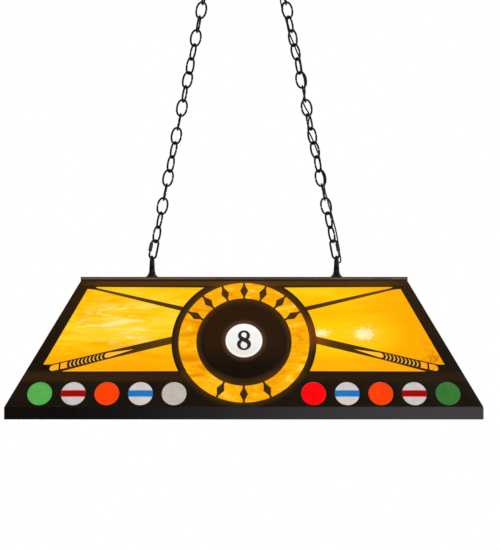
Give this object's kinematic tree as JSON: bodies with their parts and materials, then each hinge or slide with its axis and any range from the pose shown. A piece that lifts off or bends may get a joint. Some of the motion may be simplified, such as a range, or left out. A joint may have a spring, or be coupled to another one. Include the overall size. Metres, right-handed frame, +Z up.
{
  "type": "pool table lamp",
  "caption": "Oblong steel ceiling lamp for a pool table, with amber glass panes, a round ball badge and rows of coloured discs, hung from a canopy on chains.",
  "frame": {"origin": "middle of the canopy's ceiling face", "axes": "+X along the lamp to the right of someone facing its front, +Y from front to back, +Z up into the ceiling"},
  "size_m": [1.2192, 0.4318, 1.2807],
  "materials": {
    "black_steel": "satin near-black paint",
    "black_chain": "black painted steel wire and castings",
    "zinc_steel": "plain zinc plating",
    "amber_glass": "streaky amber art glass, lit from behind",
    "white_acrylic": "translucent white sheet, lit from behind",
    "bulb_glass": "soft white coated glass",
    "socket_phenolic": "moulded black",
    "cord_jacket": "dull dark jacket"
  },
  "bodies": {
    "ceiling_canopy": {"canopy_pan": "black_steel", "canopy_crossbar": "zinc_steel", "canopy_screw_left": "black_chain", "canopy_screw_right": "black_chain", "ceiling_loop_left": "black_chain", "ceiling_loop_right": "black_chain", "cord_ceiling_end": "cord_jacket"},
    "right_chain": {"chain_right": "black_chain", "quick_link_right": "black_chain", "power_cord": "cord_jacket"},
    "left_chain": {"chain_left": "black_chain", "quick_link_left": "black_chain"},
    "right_sleeve": {"quick_sleeve_right": "black_chain"},
    "left_sleeve": {"quick_sleeve_left": "black_chain"},
    "lamp_bulb_1": {"bulb_1": "bulb_glass"},
    "lamp_bulb_2": {"bulb_2": "bulb_glass"},
    "lamp_bulb_3": {"bulb_3": "bulb_glass"},
    "lamp_bulb_4": {"bulb_4": "bulb_glass"},
    "shade": {"top_plate": "black_steel", "bottom_band": "black_steel", "front_panel": "black_steel", "back_panel": "black_steel", "end_panel_left": "black_steel", "end_panel_right": "black_steel", "corner_angle_front_left": "black_steel", "corner_angle_front_right": "black_steel", "corner_angle_back_left": "black_steel", "corner_angle_back_right": "black_steel", "eight_ball_front": "black_steel", "eight_ball_back": "black_steel", "lamp_loop_left": "black_chain", "lamp_loop_right": "black_chain", "loop_nut_left": "zinc_steel", "loop_nut_right": "zinc_steel", "socket_bar_left": "zinc_steel", "socket_bar_right": "zinc_steel", "glass_front_left": "amber_glass", "glass_front_right": "amber_glass", "glass_front_ring": "amber_glass", "glass_back_left": "amber_glass", "glass_back_right": "amber_glass", "glass_back_ring": "amber_glass", "glass_end_left": "amber_glass", "glass_end_right": "amber_glass", "ball_strip_front_left": "white_acrylic", "ball_strip_front_right": "white_acrylic", "ball_strip_back_left": "white_acrylic", "ball_strip_back_right": "white_acrylic", "ball_strip_end_left": "white_acrylic", "ball_strip_end_right": "white_acrylic", "number_lens_front": "white_acrylic", "number_lens_back": "white_acrylic", "socket_1": "socket_phenolic", "socket_2": "socket_phenolic", "socket_3": "socket_phenolic", "socket_4": "socket_phenolic", "cord_lamp_end": "cord_jacket"}
  },
  "joints": [
    {"name": "right_chain_swing", "type": "hinge", "parent": "ceiling_canopy", "child": "right_chain", "pos_m": [0.09915, 0, -0.07543], "axis": [1, 0, 0], "range_deg": [-20, 20]},
    {"name": "left_chain_swing", "type": "hinge", "parent": "ceiling_canopy", "child": "left_chain", "pos_m": [-0.09915, 0, -0.07543], "axis": [1, 0, 0], "range_deg": [-20, 20]},
    {"name": "shade_tilt", "type": "hinge", "parent": "right_chain", "child": "shade", "pos_m": [0.252, 0, -0.85957], "axis": [1, 0, 0], "range_deg": [-15, 15]},
    {"name": "right_sleeve_slide", "type": "slide", "parent": "right_chain", "child": "right_sleeve", "axis": [0.1913, 0, -0.9815], "range_m": [0, 0.009]},
    {"name": "left_sleeve_slide", "type": "slide", "parent": "left_chain", "child": "left_sleeve", "axis": [-0.1913, 0, -0.9815], "range_m": [0, 0.009]},
    {"name": "bulb_1_removal", "type": "slide", "parent": "shade", "child": "lamp_bulb_1", "axis": [0, 0, -1], "range_m": [0, 0.04]},
    {"name": "bulb_2_removal", "type": "slide", "parent": "shade", "child": "lamp_bulb_2", "axis": [0, 0, -1], "range_m": [0, 0.04]},
    {"name": "bulb_3_removal", "type": "slide", "parent": "shade", "child": "lamp_bulb_3", "axis": [0, 0, -1], "range_m": [0, 0.04]},
    {"name": "bulb_4_removal", "type": "slide", "parent": "shade", "child": "lamp_bulb_4", "axis": [0, 0, -1], "range_m": [0, 0.04]}
  ],
  "couplings": [
    {"joint": "left_chain_swing", "follows": "right_chain_swing", "ratio": 1}
  ]
}
